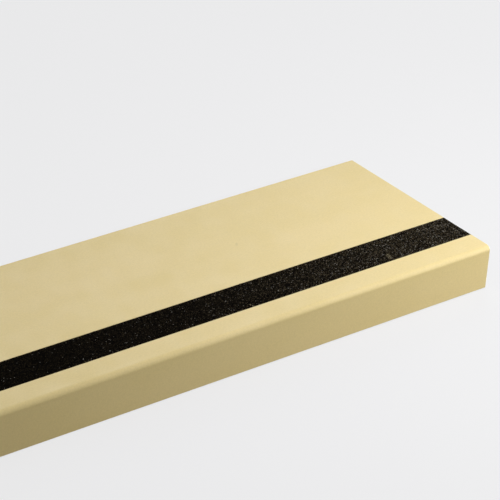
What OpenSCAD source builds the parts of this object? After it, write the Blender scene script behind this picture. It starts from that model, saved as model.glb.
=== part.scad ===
// Rubber stair tread with a nose that turns down at the front and a black
// grit strip let into its top. It lies as it does unheld on a level floor:
// on the foot of its lip and on its rear edge.

/* [Tread] */
// Length of the tread along its nose
tread_len = 914; // [300:1:1830]
// Depth from the fullest part of the nose to the rear edge
tread_depth = 265; // [180:1:330]
// Thickness at the inner corner of the nose
nose_sheet_t = 5.3; // [4:0.1:8]
// Thickness at the rear edge
rear_t = 2.9; // [2:0.1:4]

/* [Nose] */
// Height of the nose from the tread's top to the foot of the lip
nose_h = 55.5; // [30:0.5:80]
// Thickness of the nose's front, at its fullest
nose_t = 8; // [6:0.1:12]
// Thickness of the lip at its foot
lip_t = 4.7; // [3:0.1:6]
// Radius where the top rolls over into the front
crown_r = 6; // [3:0.5:10]
// Radius that fills the inner corner
corner_r = 3; // [0.5:0.5:6]
// Radius on the outer edge of the lip's foot
foot_r = 0.8; // [0.2:0.1:1.2]

/* [Grit strip] */
// Width of the strip
strip_w = 50; // [20:1:80]
// Thickness of the strip
strip_t = 1.3; // [0.8:0.1:1.6]
// Distance from the fullest part of the nose to the strip
strip_set = 34.5; // [22:0.5:60]
// How far the face that carries the grit lies below the tread's top
strip_sink = 0.3; // [0:0.1:0.5]
// Gap between the strip and each side of its recess
strip_gap = 0.15; // [0.05:0.05:0.5]

/* [Hidden] */
$fn = 96;
cut = 1; // how far a cutter reaches past the face that it cuts
hair = 0.0001; // added to a rounding circle, so that it crosses the faces it blends

// The section is drawn with its underside level: the origin is the inner
// corner of the nose, the first axis runs back and the second one upwards.
bed = tread_depth - nose_t; // depth of the flat underside
drop = nose_h - nose_sheet_t; // height of the lip below the underside
fall = atan((nose_sheet_t - rear_t) / bed); // slope of the top towards the rear
heel = [bed, 0];
toe = [0, -drop];

function top_at(y) = nose_sheet_t - y * tan(fall);

// The crown's circle touches the top and the upright plane at the nose's front
crown_y = crown_r - nose_t;
crown_c = [crown_y, top_at(crown_y) - crown_r / cos(fall)];
// The foot's circle touches the underside of the lip
foot_c = [foot_r - lip_t, foot_r - drop];

// The front is the straight line that touches both circles
run = crown_c - foot_c;
front_turn = atan2(run.y, run.x) + acos((foot_r - crown_r) / norm(run));
front_n = [cos(front_turn), sin(front_turn)];
top_n = [sin(fall), cos(fall)];
foot_n = [0, -1];

// Corner of the two lines that touch a circle where its normals are a and b
function meet(c, r, a, b) = c + r * (a + b) / (1 + a * b);

// Lying on a floor, the tread rests on its heel and on its toe
tilt = atan(drop / bed);
function laid(p) = [p.x * cos(tilt) + p.y * sin(tilt), p.y * cos(tilt) - p.x * sin(tilt)];
front_end = min(laid(crown_c).x - crown_r, laid(foot_c).x - foot_r);
rear_end = laid([bed, rear_t]).x;
middle = (front_end + rear_end) / 2;
floor_level = laid(heel).y;

// What is outside the circle at a corner of the outline
module corner_waste(c, r, a, b) {
    outer = meet(c, r + cut, a, b);
    difference() {
        polygon([c, c + (r + cut) * a, outer, c + (r + cut) * b]);
        translate(c) circle(r = r + hair);
    }
}

// A band in the top, from the depth given down and as wide as the strip
module band(depth, height, side) {
    translate([0, nose_sheet_t]) rotate(-fall)
        translate([strip_set - nose_t - side, -depth])
            square([strip_w + 2 * side, height]);
}

module tread_section() {
    crown = meet(crown_c, crown_r, front_n, top_n);
    foot = meet(foot_c, foot_r, foot_n, front_n);
    // The inner corner is a square of rubber that a circle hollows out
    inner = [corner_r, -corner_r];
    difference() {
        polygon([heel, [corner_r, 0], inner, [0, -corner_r], toe, foot, crown, [bed, rear_t]]);
        translate(inner) circle(r = corner_r + hair);
        corner_waste(crown_c, crown_r, front_n, top_n);
        corner_waste(foot_c, foot_r, foot_n, front_n);
        band(strip_t + strip_sink, strip_t + strip_sink + cut, strip_gap);
    }
}

// Turns a section into a length of stock that lies on the floor
module lay_down() {
    translate([-tread_len / 2, 0, 0]) rotate([90, 0, 90]) linear_extrude(tread_len)
        translate([-middle, -floor_level]) rotate(-tilt) children();
}

// The whole moulding: sheet, nose and lip in one piece, with its recess
module tread() {
    color([0.92, 0.83, 0.58]) lay_down() tread_section();
}

// The strip lies on the floor of the recess
module grit_strip() {
    color([0.09, 0.09, 0.08]) lay_down() band(strip_t + strip_sink, strip_t, 0);
}

tread();
grit_strip();
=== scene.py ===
import math

import bpy
import numpy as np
from mathutils import Matrix, Vector


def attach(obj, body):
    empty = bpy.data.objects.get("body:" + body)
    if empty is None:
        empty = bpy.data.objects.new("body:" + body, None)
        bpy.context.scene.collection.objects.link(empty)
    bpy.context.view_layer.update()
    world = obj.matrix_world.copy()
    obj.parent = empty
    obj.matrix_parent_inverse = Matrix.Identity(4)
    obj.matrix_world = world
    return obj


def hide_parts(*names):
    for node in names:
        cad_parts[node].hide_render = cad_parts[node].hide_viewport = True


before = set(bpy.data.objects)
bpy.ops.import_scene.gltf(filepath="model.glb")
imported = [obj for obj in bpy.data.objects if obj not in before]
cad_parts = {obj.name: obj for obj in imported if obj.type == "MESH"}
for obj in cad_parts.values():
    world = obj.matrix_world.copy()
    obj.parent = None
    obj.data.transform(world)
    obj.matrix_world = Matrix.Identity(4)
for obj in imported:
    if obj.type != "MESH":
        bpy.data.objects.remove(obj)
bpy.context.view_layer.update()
mm = 0.001  # metres in a millimetre; the tread's sizes below are in millimetres
print("frame loaded:", ", ".join(sorted(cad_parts)))

# The camera

cameraSettings = {
    "aim": (224.76, 13.65, 27.41),  # mm, a point on the tread's top, near the strip
    "azimuth": -38.485,  # degrees from straight in front, here towards the left end
    "elevation": 37.940,  # degrees
    "roll": 8.443,  # the tread lies tipped towards its rear edge, so a level view of it is a rolled one here
    "distance": 2439.1,  # mm
    "lens": 155.49,  # mm
    "sensor": 36.0,  # mm
    "farthest": 100.0,  # metres
}


def makeCamera(view):
    turn, rise = math.radians(view["azimuth"]), math.radians(view["elevation"])
    back = Vector((math.sin(turn) * math.cos(rise), -math.cos(turn) * math.cos(rise), math.sin(rise)))
    data = bpy.data.cameras.new("camera")
    data.lens = view["lens"]
    data.sensor_width = view["sensor"]
    data.clip_end = view["farthest"]
    camera = bpy.data.objects.new("camera", data)
    look = (-back).to_track_quat("-Z", "Y").to_matrix() @ Matrix.Rotation(math.radians(view["roll"]), 3, "Z")
    place = (Vector(view["aim"]) + back * view["distance"]) * mm
    camera.matrix_world = Matrix.Translation(place) @ look.to_4x4()
    bpy.context.collection.objects.link(camera)
    bpy.context.scene.camera = camera


makeCamera(cameraSettings)
bpy.context.scene.view_settings.view_transform = "Standard"
print("camera placed")

# Helpers for colours and nodes

noiseLow, noiseHigh = 0.3, 0.7  # nearly all of a noise lies between these


def linear(hexColour):
    parts = [int(hexColour[i : i + 2], 16) / 255 for i in (1, 3, 5)]
    return [c / 12.92 if c <= 0.04045 else ((c + 0.055) / 1.055) ** 2.4 for c in parts] + [1.0]


def perMetre(size):
    return 1000 / size  # a pattern's scale, from the size of its patches in millimetres


def spreadOver(low, high):
    return {"From Min": noiseLow, "From Max": noiseHigh, "To Min": low, "To Max": high}


def placeStops(ramp, stops):
    for element, (position, colour) in zip(ramp.elements, (stops[0], stops[-1])):
        element.position = position
        element.color = linear(colour)
    for position, colour in stops[1:-1]:
        ramp.elements.new(position).color = linear(colour)


def node(tree, kind, settings=None, links=None):
    # a link comes from the socket that it names, or from the first one of the node that it names
    made = tree.nodes.new(kind)
    for name, value in (settings or {}).items():
        if name == "stops":
            placeStops(made.color_ramp, value)
        elif isinstance(name, int) or name in made.inputs:
            made.inputs[name].default_value = value
        else:
            setattr(made, name, value)
    for name, source in (links or {}).items():
        socket = source.outputs[0] if isinstance(source, bpy.types.Node) else source
        tree.links.new(socket, made.inputs[name])
    return made


def newMaterial(name):
    material = bpy.data.materials.new(name)
    material.use_nodes = True
    tree = material.node_tree
    tree.nodes.clear()
    return material, tree


# The tread's section, in millimetres, with its underside level: the origin is the inner corner of the nose

treadSize = {
    "length": 914.0,
    "depth": 265.0,  # from the fullest part of the nose to the rear edge
    "noseSheet": 5.3,  # thickness at the inner corner
    "rear": 2.9,  # thickness at the rear edge
    "noseHeight": 55.5,  # from the top to the foot of the lip
    "nose": 8.0,  # thickness of the nose's front, at its fullest
    "lip": 4.7,  # thickness at the lip's foot
    "crownRadius": 6.0,
    "cornerRadius": 3.0,  # fills the inner corner
    "footRadius": 0.8,
    "edge": 0.3,  # the mould leaves its parting edges just off sharp
    "recessEdge": 0.15,  # and the upper edges of the recess a little sharper
    "cutEdge": 0.12,  # a knife leaves the ends sharper than the mould does
    "support": 0.4,  # width of the flat band beside each rounding, which keeps its shading to itself
    "sharpFrom": 50.0,  # degrees; only the corners at the bottom of the recess are sharper
}
stripSize = {
    "width": 50.0,
    "thickness": 1.3,
    "set": 34.5,  # from the fullest part of the nose
    "sink": 0.3,  # the face that carries the grit lies this far below the tread's top
    "gap": 0.15,  # between the strip and each side of its recess
}

bed = treadSize["depth"] - treadSize["nose"]  # depth of the flat underside
drop = treadSize["noseHeight"] - treadSize["noseSheet"]  # height of the lip below the underside
fall = math.atan((treadSize["noseSheet"] - treadSize["rear"]) / bed)  # slope of the top towards the rear
tilt = math.atan(drop / bed)  # how far the tread lies tipped back on a floor


def direction(angle):
    return np.array([math.cos(angle), math.sin(angle)])


def tipped(point, angle):
    y, z = point
    return np.array([y * math.cos(angle) + z * math.sin(angle), z * math.cos(angle) - y * math.sin(angle)])


def topAt(y):
    return treadSize["noseSheet"] - y * math.tan(fall)


def crownAndFoot():
    # the front is the straight line that touches the circles of both
    big, small = treadSize["crownRadius"], treadSize["footRadius"]
    y = big - treadSize["nose"]
    crown = np.array([y, topAt(y) - big / math.cos(fall)])
    foot = np.array([small - treadSize["lip"], small - drop])
    run = crown - foot
    turn = math.atan2(run[1], run[0]) + math.acos((small - big) / np.linalg.norm(run))
    return crown, foot, direction(turn)


def meet(centre, radius, a, b):
    # the corner of two lines that touch a circle where its normals are a and b
    return centre + radius * (a + b) / (1 + a @ b)


def stripPoint(across, up):
    # across the strip from its front edge, and up from the tread's top
    flat = tipped((across + stripSize["set"] - treadSize["nose"], up), fall)
    return flat + np.array([0, treadSize["noseSheet"]])


crownCentre, footCentre, frontNormal = crownAndFoot()
crownFront = tipped(crownCentre, tilt)[0] - treadSize["crownRadius"]
footFront = tipped(footCentre, tilt)[0] - treadSize["footRadius"]
rearEnd = tipped((bed, treadSize["rear"]), tilt)[0]
origin = np.array([(min(crownFront, footFront) + rearEnd) / 2, tipped((bed, 0), tilt)[1]])


def stored(point):
    return tipped(point, tilt) - origin


foot = meet(footCentre, treadSize["footRadius"], np.array([0.0, -1.0]), frontNormal)
crown = meet(crownCentre, treadSize["crownRadius"], frontNormal, direction(math.pi / 2 - fall))
recess = stripSize["thickness"] + stripSize["sink"]
recessFront, recessRear = -stripSize["gap"], stripSize["width"] + stripSize["gap"]

# Each corner has its point, its rounding, the number of flats in it, and whether the face after it is glued
treadCorners = [
    ((bed, 0.0), treadSize["edge"], 4, True),
    ((0.0, 0.0), treadSize["cornerRadius"], 10, True),
    ((0.0, -drop), treadSize["edge"], 4, False),
    (foot, treadSize["footRadius"], 8, False),
    (crown, treadSize["crownRadius"], 24, False),
    (stripPoint(recessFront, 0), treadSize["recessEdge"], 3, False),
    (stripPoint(recessFront, -recess), 0, 0, False),
    (stripPoint(recessRear, -recess), 0, 0, False),
    (stripPoint(recessRear, 0), treadSize["recessEdge"], 3, False),
    ((bed, treadSize["rear"]), treadSize["edge"], 4, False),
]


def outline(corners):
    points, normals, buffed = [], [], []
    for i, (point, radius, flats, glued) in enumerate(corners):
        here = np.array(point, float)
        toBefore = np.array(corners[i - 1][0], float) - here
        toAfter = np.array(corners[(i + 1) % len(corners)][0], float) - here
        reach = min(np.linalg.norm(toBefore), np.linalg.norm(toAfter))
        band = min(treadSize["support"], reach / 4)
        before, after = toBefore / np.linalg.norm(toBefore), toAfter / np.linalg.norm(toAfter)
        outBefore, outAfter = np.array([before[1], -before[0]]), np.array([-after[1], after[0]])
        wasGlued = corners[i - 1][3]
        if radius == 0:
            points += [here + before * band, here, here + after * band]
            normals += [outBefore, (outBefore + outAfter) / (1 + outBefore @ outAfter), outAfter]
            buffed += [wasGlued, glued, glued]
            continue
        half = math.acos(np.clip(before @ after, -1, 1)) / 2
        tangent = radius / math.tan(half)
        side = before + after
        centre = here + side / np.linalg.norm(side) * radius / math.sin(half)
        bulge = np.sign(outBefore @ (here + before * tangent - centre))  # -1 where the corner is hollow
        start, end = outBefore * bulge, outAfter * bulge
        turn = math.atan2(start[0] * end[1] - start[1] * end[0], start @ end)
        points.append(here + before * (tangent + band))
        normals.append(outBefore)
        buffed.append(wasGlued)
        for k in range(flats + 1):
            spoke = direction(math.atan2(start[1], start[0]) + turn * k / flats)
            points.append(centre + radius * spoke)
            normals.append(spoke * bulge)
            buffed.append(glued if k == flats else wasGlued and glued)
        points.append(here + after * (tangent + band))
        normals.append(outAfter)
        buffed.append(glued)
    return np.array(points), np.array(normals), buffed


def makeTread(materials):
    points, normals, buffed = outline(treadCorners)
    count = len(points)
    half, cut = treadSize["length"] / 2, treadSize["cutEdge"]
    bow = cut * 0.3  # the cut edge is a quarter round, whose middle lies about this far in from both faces
    # how far in from the end, and how far in from the outline
    ends = [(0.0, cut), (bow, bow), (cut, 0.0), (cut + treadSize["support"], 0.0)]
    stations = [(-half + fromEnd, inset) for fromEnd, inset in ends]
    stations += [(half - fromEnd, inset) for fromEnd, inset in reversed(ends)]
    verts = []
    for x, inset in stations:
        for point, normal in zip(points, normals):
            y, z = stored(point - normal * inset)
            verts.append((x * mm, y * mm, z * mm))
    # the materials are, in this order, moulded, buffed and knife-cut
    faces, finishes = [], []
    for k in range(len(stations) - 1):
        for i in range(count):
            j = (i + 1) % count
            near, far = k * count, (k + 1) * count
            faces.append((near + i, far + i, far + j, near + j))
            finishes.append(1 if buffed[i] else 0)
    faces.append(tuple(range(count)))
    faces.append(tuple(len(stations) * count - 1 - i for i in range(count)))
    finishes += [2, 2]
    mesh = bpy.data.meshes.new("rubber_tread")
    mesh.from_pydata(verts, [], faces)
    for material in materials:
        mesh.materials.append(material)
    mesh.polygons.foreach_set("material_index", finishes)
    mesh.polygons.foreach_set("use_smooth", [True] * len(faces))
    mesh.set_sharp_from_angle(angle=math.radians(treadSize["sharpFrom"]))
    mesh.validate()
    piece = bpy.data.objects.new("rubber_tread", mesh)
    bpy.context.collection.objects.link(piece)
    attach(piece, "root")
    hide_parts("tread")
    return piece


# Vulcanised rubber, pressed in a satin mould: solid colour all through, a soft broad sheen and no clear
# reflection, with pigment that is a shade uneven from one handful of compound to the next

rubberSettings = {
    "colour": "#ead495",
    "deepColour": "#e8d291",
    "paleColour": "#ecd699",
    "mottle": 60.0,  # mm, patches of compound
    "drawnOut": 0.35,  # they are about three times as long along the tread, the way the sheet was pressed
    "speck": 1.8,  # mm; the real pigment specks are finer and wouldn't show
    "speckShade": (0.97, 1.03),
    "ior": 1.5,
    "roughness": (0.44, 0.56),
    "grain": 1.6,  # mm; the mould's satin is about 0.3 mm, drawn coarser so that it shows
    "grainHeight": 0.012,  # mm
    "wave": 22.0,  # mm, the press leaves the sheet a touch uneven
    "waveHeight": 0.02,  # mm
    "scuff": (219.7, 32.8, 23.5),  # mm, the middle of the one faint mark on the tread's top
    "scuffHalf": (6.0, 2.0, 10.0),  # mm, half its size along, across and up
    "scuffTurn": 56.0,  # degrees
    "scuffShade": 0.9,
    "scuffCore": 0.3,  # share of its size that has the full shade
}
# A sanding belt roughens the glued faces in fine lines along the tread, so they are dull and a shade greyer
buffedSettings = {
    "colour": "#dfc98a",
    "shade": (0.96, 1.03),
    "marks": (50.0, 0.8, 0.8),  # mm, the size of the belt's marks along the three axes
    "height": 0.05,  # mm
    "roughness": 0.8,
}
# The length is cut with a guillotine, whose blade leaves faint upright strokes on the ends
knifeSettings = {
    "colour": "#e3cd8b",
    "shade": (0.96, 1.03),
    "marks": (1.0, 0.7, 20.0),  # mm, the size of the knife's marks along the three axes
    "height": 0.03,  # mm
    "roughness": 0.62,
}


def scuffShade(tree, rubber):
    place = node(tree, "ShaderNodeTexCoord").outputs["Object"]
    lie = {
        "vector_type": "TEXTURE",
        "Location": [part * mm for part in rubber["scuff"]],
        "Rotation": (0, 0, math.radians(rubber["scuffTurn"])),
        "Scale": [part * mm for part in rubber["scuffHalf"]],
    }
    local = node(tree, "ShaderNodeMapping", lie, {"Vector": place})
    away = node(tree, "ShaderNodeVectorMath", {"operation": "LENGTH"}, {0: local}).outputs["Value"]
    fade = {"From Min": rubber["scuffCore"], "From Max": 1.0, "To Min": rubber["scuffShade"], "To Max": 1.0}
    return node(tree, "ShaderNodeMapRange", fade, {"Value": away})


def mouldedRubber(rubber):
    material, tree = newMaterial("vulcanisedRubberSatinMoulded")
    place = node(tree, "ShaderNodeTexCoord").outputs["Object"]
    drawn = node(tree, "ShaderNodeMapping", {"Scale": (rubber["drawnOut"], 1, 1)}, {"Vector": place})

    patches = {"Scale": perMetre(rubber["mottle"]), "Detail": 3}
    mottle = node(tree, "ShaderNodeTexNoise", patches, {"Vector": drawn})
    stops = ((noiseLow, rubber["deepColour"]), (0.5, rubber["colour"]), (noiseHigh, rubber["paleColour"]))
    colour = node(tree, "ShaderNodeValToRGB", {"stops": stops}, {"Fac": mottle})
    specks = {"Scale": perMetre(rubber["speck"]), "Detail": 1}
    speck = node(tree, "ShaderNodeTexNoise", specks, {"Vector": place})
    speckled = node(tree, "ShaderNodeMapRange", spreadOver(*rubber["speckShade"]), {"Value": speck})
    marked = {0: speckled, 1: scuffShade(tree, rubber)}
    shade = node(tree, "ShaderNodeMath", {"operation": "MULTIPLY"}, marked)
    tinted = node(tree, "ShaderNodeVectorMath", {"operation": "SCALE"}, {0: colour, "Scale": shade})

    broad = {"Scale": perMetre(rubber["wave"]), "Detail": 3}
    uneven = node(tree, "ShaderNodeTexNoise", broad, {"Vector": place})
    rough = node(tree, "ShaderNodeMapRange", spreadOver(*rubber["roughness"]), {"Value": uneven})

    smooth = {"Scale": perMetre(rubber["wave"]), "Detail": 1}
    swell = node(tree, "ShaderNodeTexNoise", smooth, {"Vector": drawn})
    wave = node(tree, "ShaderNodeBump", {"Distance": rubber["waveHeight"] * mm}, {"Height": swell})
    fine = {"Scale": perMetre(rubber["grain"]), "Detail": 2, "Roughness": 0.6}
    satin = node(tree, "ShaderNodeTexNoise", fine, {"Vector": place})
    onWave = {"Height": satin, "Normal": wave}
    grain = node(tree, "ShaderNodeBump", {"Distance": rubber["grainHeight"] * mm}, onWave)

    look = {"Base Color": tinted, "Roughness": rough, "Normal": grain}
    skin = node(tree, "ShaderNodeBsdfPrincipled", {"IOR": rubber["ior"]}, look)
    node(tree, "ShaderNodeOutputMaterial", links={"Surface": skin})
    return material


def workedRubber(name, rubber):
    material, tree = newMaterial(name)
    place = node(tree, "ShaderNodeTexCoord").outputs["Object"]
    stretch = {"Scale": [perMetre(size) for size in rubber["marks"]]}
    drawn = node(tree, "ShaderNodeMapping", stretch, {"Vector": place})
    marks = node(tree, "ShaderNodeTexNoise", {"Scale": 1, "Detail": 3, "Roughness": 0.6}, {"Vector": drawn})
    shade = node(tree, "ShaderNodeMapRange", spreadOver(*rubber["shade"]), {"Value": marks})
    plain = {"operation": "SCALE", 0: linear(rubber["colour"])[:3]}
    tinted = node(tree, "ShaderNodeVectorMath", plain, {"Scale": shade})
    bump = node(tree, "ShaderNodeBump", {"Distance": rubber["height"] * mm}, {"Height": marks})
    finish = {"IOR": rubberSettings["ior"], "Roughness": rubber["roughness"]}
    skin = node(tree, "ShaderNodeBsdfPrincipled", finish, {"Base Color": tinted, "Normal": bump})
    node(tree, "ShaderNodeOutputMaterial", links={"Surface": skin})
    return material


rubberMaterials = [
    mouldedRubber(rubberSettings),
    workedRubber("vulcanisedRubberBuffed", buffedSettings),
    workedRubber("vulcanisedRubberKnifeCut", knifeSettings),
]
tread = makeTread(rubberMaterials)
print("tread made:", len(tread.data.polygons), "faces")

# Silicon carbide grit in black epoxy: broken near-black crystals. Most are dusty and dull, and a few show a
# clean facet and glint. The resin is dull too and shows only between them

gritSettings = {
    "spacing": 1.3,  # mm between grains; the real 24 grit is about 0.8 mm, drawn coarser so that it shows
    "size": (0.8, 1.6),  # mm, width of a grain
    "height": (0.5, 0.9),  # share of its width
    "stretch": (0.72, 1.1),  # how far a grain's corners stand from its middle, as a share
    "shift": 0.12,  # and how far each is moved aside
    "sunk": 0.35,  # share of its height that the resin holds
    "ragged": 0.25,  # mm, how unevenly the grit meets the strip's edges
    "bare": 0.03,  # share of places without a grain
    "pieces": 5,
    "seed": 7,
    # Painted sheen: the grains are painted paler towards the right end, and more of them glint there,
    # where the lamps light that end more. Each pair is a place along the tread, in mm, and how much paler the
    # grains are painted there, or the share of clean facets
    "paintedSheen": ((-200.0, 0.73), (60.0, 0.88), (200.0, 1.06), (457.0, 1.6)),
    "glinting": ((-200.0, 0.004), (200.0, 0.025), (457.0, 0.14)),
    "palestGrainShade": 0.9,  # the palest shade of a loose grain, outside a streak of dust, which has 1
    # Streaks of dust: the two ends, in mm along the tread and across the strip, and half the width
    "smears": (((157.4, 0.5), (156.5, 6.5), 1.0), ((345.6, 6.5), (348.0, 12.5), 2.4)),
    "dullColours": (
        (0.0, "#040302"), (0.32, "#110e0a"), (0.68, "#322b1f"), (0.9, "#5a5140"), (1.0, "#877d64"),
    ),
    "dullIor": 1.5,
    "dullLevel": 0.01,  # dust hides nearly all of a dull grain's shine
    "dullRoughness": 0.8,
    # glinting grains are painted paler than dull ones: a painted glint, beside their facets' real shine
    "glintColours": ((0.0, "#2c2822"), (0.9, "#7b7464"), (1.0, "#7b7464")),
    "glintIor": 1.7,
    "glintRoughness": 0.3,
}
resinSettings = {
    "colour": "#050403",
    "level": 0.02,  # how much of its shine is left under the dust
    "roughness": 0.85,
    "ior": 1.5,
    "lump": 0.9,  # mm, the bumps that it makes where it wets the grains
    "lumpHeight": 0.15,  # mm
}


def siliconCarbide(name, colours, finish):
    material, tree = newMaterial(name)
    shade = node(tree, "ShaderNodeAttribute", {"attribute_name": "grainShade"}).outputs["Fac"]
    colour = node(tree, "ShaderNodeValToRGB", {"stops": colours}, {"Fac": shade})
    crystal = node(tree, "ShaderNodeBsdfPrincipled", finish, {"Base Color": colour})
    node(tree, "ShaderNodeOutputMaterial", links={"Surface": crystal})
    return material


def gritMaterials(grit):
    dull = {
        "IOR": grit["dullIor"],
        "Specular IOR Level": grit["dullLevel"],
        "Roughness": grit["dullRoughness"],
    }
    glint = {"IOR": grit["glintIor"], "Roughness": grit["glintRoughness"]}
    return [
        siliconCarbide("siliconCarbideDusty", grit["dullColours"], dull),
        # its paler colours are partly a painted glint
        siliconCarbide("siliconCarbideGlinting", grit["glintColours"], glint),
    ]


def epoxyBed(resin):
    material, tree = newMaterial("blackEpoxyBed")
    place = node(tree, "ShaderNodeTexCoord").outputs["Object"]
    lumps = {"Scale": perMetre(resin["lump"]), "Detail": 3, "Roughness": 0.6}
    lumpy = node(tree, "ShaderNodeTexNoise", lumps, {"Vector": place})
    bump = node(tree, "ShaderNodeBump", {"Distance": resin["lumpHeight"] * mm}, {"Height": lumpy})
    finish = {
        "Base Color": linear(resin["colour"]),
        "IOR": resin["ior"],
        "Specular IOR Level": resin["level"],
        "Roughness": resin["roughness"],
    }
    surface = node(tree, "ShaderNodeBsdfPrincipled", finish, {"Normal": bump})
    node(tree, "ShaderNodeOutputMaterial", links={"Surface": surface})
    return material


# Two kinds of grain with six points and eight faces: a double pyramid and a wedge. No two look alike, because
# each is stretched and turned at random
pyramid = {
    "points": [(1, 0, 0), (0, 1, 0), (-1, 0, 0), (0, -1, 0), (0, 0, 1), (0, 0, -1)],
    "faces": [(0, 1, 4), (1, 2, 4), (2, 3, 4), (3, 0, 4), (1, 0, 5), (2, 1, 5), (3, 2, 5), (0, 3, 5)],
}
wedge = {
    "points": [
        (-0.9, -0.8, -0.6), (0.9, -0.8, -0.6), (0.0, -0.8, 0.8),
        (-0.9, 0.8, -0.6), (0.9, 0.8, -0.6), (0.0, 0.8, 0.8),
    ],
    "faces": [(0, 1, 2), (5, 4, 3), (0, 3, 4), (0, 4, 1), (1, 4, 5), (1, 5, 2), (2, 5, 3), (2, 3, 0)],
}


def scatterPlaces(grit, rng):
    # a staggered grid with each place shaken by a third of the spacing
    spacing, row = grit["spacing"], grit["spacing"] * math.sqrt(3) / 2
    half = treadSize["length"] / 2
    rows = np.arange(row / 2, stripSize["width"], row)
    along, across = np.meshgrid(np.arange(-half + spacing / 4, half, spacing), rows)
    along = along + (np.arange(len(rows)) % 2)[:, None] * spacing / 2
    places = np.stack([along.ravel(), across.ravel()], axis=1)
    places += rng.uniform(-spacing / 3, spacing / 3, places.shape)
    kept = rng.random(len(places)) > grit["bare"]
    return places[kept]


def randomTurns(rng, count):
    turns = rng.normal(size=(count, 4))
    turns /= np.linalg.norm(turns, axis=1, keepdims=True)
    w, x, y, z = turns.T
    rows = [
        1 - 2 * (y * y + z * z), 2 * (x * y - z * w), 2 * (x * z + y * w),
        2 * (x * y + z * w), 1 - 2 * (x * x + z * z), 2 * (y * z - x * w),
        2 * (x * z - y * w), 2 * (y * z + x * w), 1 - 2 * (x * x + y * y),
    ]
    return np.stack(rows, axis=1).reshape(count, 3, 3)


def shapeGrains(grit, rng, count):
    width = rng.uniform(*grit["size"], count)
    height = width * rng.uniform(*grit["height"], count)
    kind = rng.integers(0, 2, count)
    grains = np.array([pyramid["points"], wedge["points"]], float)[kind]
    grains *= rng.uniform(*grit["stretch"], (count, 6, 1))
    grains += rng.uniform(-grit["shift"], grit["shift"], (count, 6, 3))
    grains = np.einsum("nij,nkj->nki", randomTurns(rng, count), grains)
    grains[:, :, :2] *= width[:, None, None] / 2
    grains[:, :, 2] *= height[:, None] / 2
    # the lowest part of each grain sits in the resin
    low, high = grains[:, :, 2].min(axis=1), grains[:, :, 2].max(axis=1)
    grains[:, :, 2] -= (low + (high - low) * grit["sunk"])[:, None]
    return grains, np.array([pyramid["faces"], wedge["faces"]])[kind]


def smeared(places, grit):
    found = np.zeros(len(places), bool)
    for start, end, half in grit["smears"]:
        run = np.array(end) - start
        share = np.clip((places - start) @ run / (run @ run), 0, 1)
        found |= np.linalg.norm(places - start - share[:, None] * run, axis=1) < half
    return found


def makeGrains(grit, materials):
    rng = np.random.default_rng(grit["seed"])
    places = scatterPlaces(grit, rng)
    count = len(places)
    grains, faces = shapeGrains(grit, rng, count)
    ragged = rng.uniform(0, grit["ragged"], (count, 1))
    half = treadSize["length"] / 2
    x = np.clip(grains[:, :, 0] + places[:, :1], -half, half)  # the knife cuts them with the tread
    across = np.clip(grains[:, :, 1] + places[:, 1:], ragged, stripSize["width"] - ragged)
    up = grains[:, :, 2] - stripSize["sink"]
    corner = stored(stripPoint(0, 0))
    side, rise = stored(stripPoint(1, 0)) - corner, stored(stripPoint(0, 1)) - corner
    section = corner + across[:, :, None] * side + up[:, :, None] * rise
    verts = np.concatenate([x[:, :, None], section], axis=2) * mm

    # painted sheen: paler grains towards the right end, and more that glint there
    paintedSheen = np.interp(places[:, 0], *zip(*grit["paintedSheen"]))
    loose = np.clip(rng.random(count) * grit["palestGrainShade"] * paintedSheen, 0, grit["palestGrainShade"])
    shade = np.where(smeared(places, grit), 1.0, loose)
    glinting = rng.random(count) < np.interp(places[:, 0], *zip(*grit["glinting"]))
    share = (places[:, 0] + half) / treadSize["length"]
    block = np.clip((share * grit["pieces"]).astype(int), 0, grit["pieces"] - 1)
    for k in range(grit["pieces"]):
        mine = block == k
        name = "grit_grains_%d" % (k + 1)
        joinGrains(name, verts[mine], faces[mine], shade[mine], glinting[mine], materials)
    return count


def joinGrains(name, verts, faces, shade, glinting, materials):
    count, points = verts.shape[:2]
    loops = (faces + (np.arange(count) * points)[:, None, None]).reshape(-1)
    mesh = bpy.data.meshes.new(name)
    mesh.vertices.add(count * points)
    mesh.vertices.foreach_set("co", verts.reshape(-1))
    mesh.loops.add(len(loops))
    mesh.loops.foreach_set("vertex_index", loops)
    mesh.polygons.add(len(loops) // 3)
    mesh.polygons.foreach_set("loop_start", np.arange(0, len(loops), 3))
    mesh.attributes.new("grainShade", "FLOAT", "POINT").data.foreach_set("value", np.repeat(shade, points))
    for material in materials:
        mesh.materials.append(material)
    mesh.polygons.foreach_set("material_index", np.repeat(glinting.astype(np.int32), faces.shape[1]))
    mesh.update(calc_edges=True)
    mesh.validate()
    piece = bpy.data.objects.new(name, mesh)
    bpy.context.collection.objects.link(piece)
    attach(piece, "root")


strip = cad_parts["grit_strip"]
strip.data.materials.clear()
strip.data.materials.append(epoxyBed(resinSettings))
grains = makeGrains(gritSettings, gritMaterials(gritSettings))
print("grit made:", grains, "grains")

# Floor, surroundings and lamps, with places and sizes in metres

stageSettings = {
    "paleColour": "#f0f0f1",  # what the eye and a gloss see of floor and surroundings
    "shadowShare": 0.17,  # how much of that the lamps light on the floor, so that it carries the shadow
    "shadowReach": (0.7, 1.5),  # from the tread's middle; the floor turns plain between these
    "bounceColour": "#868583",  # the floor as the tread gets light back from it
    "floorSize": 60.0,
    "surround": 0.12,  # strength of the light that comes from all around
}
lampSettings = {
    "front": {"place": (1.50, -0.90, 0.60), "aim": (0.15, 0.0, 0.02), "size": 0.8, "watts": 18.1},
    "right": {"place": (0.60, -0.20, 0.60), "aim": (0.45, -0.1, 0.05), "size": 0.4, "watts": 2.0},
    "rear": {"place": (1.10, 1.70, 1.30), "aim": (0.15, 0.0, 0.02), "size": 1.4, "watts": 15.3},
    "left": {"place": (-0.30, 0.15, 0.85), "aim": (-0.30, -0.1, 0.05), "size": 0.5, "watts": 1.5},
}


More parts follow.
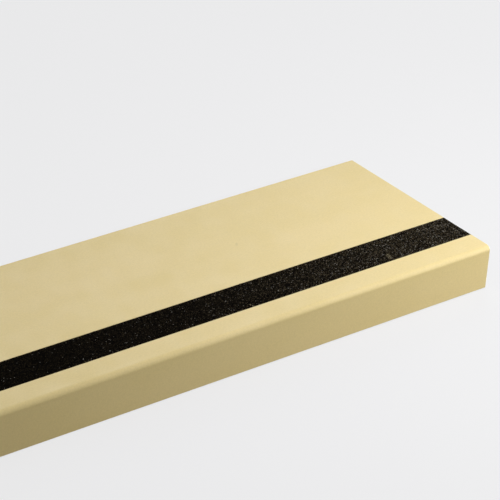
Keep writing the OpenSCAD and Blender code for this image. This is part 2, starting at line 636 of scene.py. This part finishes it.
def seenByEye(tree):
    # one for the rays that the eye, a gloss or a glass sends out, and none for the light on the tread
    rays = node(tree, "ShaderNodeLightPath").outputs
    larger = {"operation": "MAXIMUM"}
    either = node(tree, "ShaderNodeMath", larger, {0: rays["Is Camera Ray"], 1: rays["Is Glossy Ray"]})
    return node(tree, "ShaderNodeMath", larger, {0: either, 1: rays["Is Transmission Ray"]})


def makeFloor(stage):
    material, tree = newMaterial("studioFloor")
    pale, share = linear(stage["paleColour"]), stage["shadowShare"]
    lit = node(tree, "ShaderNodeBsdfDiffuse", {"Color": [part * share for part in pale[:3]] + [1.0]})
    glow = node(tree, "ShaderNodeEmission", {"Color": pale, "Strength": 1 - share})
    near = node(tree, "ShaderNodeAddShader", links={0: lit, 1: glow})
    plain = node(tree, "ShaderNodeEmission", {"Color": pale})

    place = node(tree, "ShaderNodeTexCoord").outputs["Object"]
    away = node(tree, "ShaderNodeVectorMath", {"operation": "LENGTH"}, {0: place}).outputs["Value"]
    start, end = stage["shadowReach"]
    fade = {"interpolation_type": "SMOOTHSTEP", "From Min": start, "From Max": end}
    far = node(tree, "ShaderNodeMapRange", fade, {"Value": away})
    seen = node(tree, "ShaderNodeMixShader", links={0: far, 1: near, 2: plain})

    bounce = node(tree, "ShaderNodeBsdfDiffuse", {"Color": linear(stage["bounceColour"])})
    top = node(tree, "ShaderNodeMixShader", links={0: seenByEye(tree), 1: bounce, 2: seen})
    clear = node(tree, "ShaderNodeBsdfTransparent")  # from below, the floor is out of the way
    below = node(tree, "ShaderNodeNewGeometry").outputs["Backfacing"]
    shown = node(tree, "ShaderNodeMixShader", links={0: below, 1: top, 2: clear})
    node(tree, "ShaderNodeOutputMaterial", links={"Surface": shown})

    bpy.ops.mesh.primitive_plane_add(size=stage["floorSize"])
    floor = bpy.context.object
    floor.name = "floor"
    floor.data.materials.append(material)


def makeSurround(stage):
    world = bpy.data.worlds.new("studio")
    bpy.context.scene.world = world
    world.use_nodes = True
    tree = world.node_tree
    tree.nodes.clear()
    dim = node(tree, "ShaderNodeBackground", {"Color": (1, 1, 1, 1), "Strength": stage["surround"]})
    pale = node(tree, "ShaderNodeBackground", {"Color": linear(stage["paleColour"])})
    both = node(tree, "ShaderNodeMixShader", links={0: seenByEye(tree), 1: dim, 2: pale})
    node(tree, "ShaderNodeOutputWorld", links={"Surface": both})


def makeLamp(name, lamp):
    data = bpy.data.lights.new(name, "AREA")
    data.size = lamp["size"]
    data.energy = lamp["watts"]
    made = bpy.data.objects.new(name, data)
    place = Vector(lamp["place"])
    look = (Vector(lamp["aim"]) - place).to_track_quat("-Z", "Y").to_matrix()
    made.matrix_world = Matrix.Translation(place) @ look.to_4x4()
    bpy.context.collection.objects.link(made)


makeFloor(stageSettings)
makeSurround(stageSettings)
for name, settings in lampSettings.items():
    makeLamp(name, settings)
print("stage lit")
